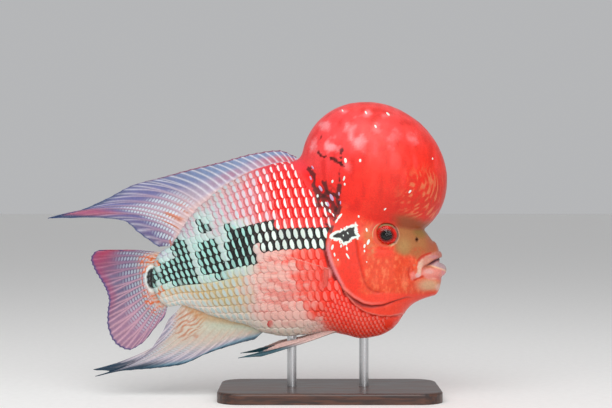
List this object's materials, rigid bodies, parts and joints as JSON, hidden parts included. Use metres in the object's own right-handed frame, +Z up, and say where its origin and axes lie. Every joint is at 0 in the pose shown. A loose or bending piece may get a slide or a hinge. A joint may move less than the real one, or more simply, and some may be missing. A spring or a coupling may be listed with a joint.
{
  "type": "flowerhorn cichlid model",
  "caption": "Life-size still model of a flowerhorn cichlid with a large round nuchal hump and trailing fins, held level on two rods over a flat display base.",
  "frame": {"origin": "centre of the model's bounding box in plan, on the floor under the stand's base", "axes": "+X from the tail towards the snout, +Y towards the fish's left side, +Z up"},
  "size_m": [0.3, 0.092, 0.2212],
  "materials": {
    "red_skin": "moist scaled skin, coral red, with a soft gloss",
    "pale_skin": "moist scaled skin, pinkish white to pale yellow, with a soft gloss",
    "lip": "smooth moist lip flesh",
    "eye": "clear polished eye over a red iris",
    "fin_membrane": "thin fin membrane over rays, slightly see-through",
    "clear_membrane": "clear pectoral membrane over fine rays",
    "stained_wood": "dark stained and lacquered wood",
    "rod_steel": "fine brushed steel"
  },
  "bodies": {
    "root": {"head": "red_skin", "nuchal_hump": "red_skin", "trunk": "pale_skin", "tail_root": "pale_skin", "upper_lip": "lip", "lower_lip": "lip", "eye_right": "eye", "eye_left": "eye", "dorsal_fin": "fin_membrane", "anal_fin": "fin_membrane", "tail_fin": "fin_membrane", "pectoral_fin_right": "clear_membrane", "pectoral_fin_left": "clear_membrane", "pelvic_fin_right": "fin_membrane", "pelvic_fin_left": "fin_membrane", "stand_base": "stained_wood", "stand_rod_1": "rod_steel", "stand_rod_2": "rod_steel"}
  },
  "joints": []
}
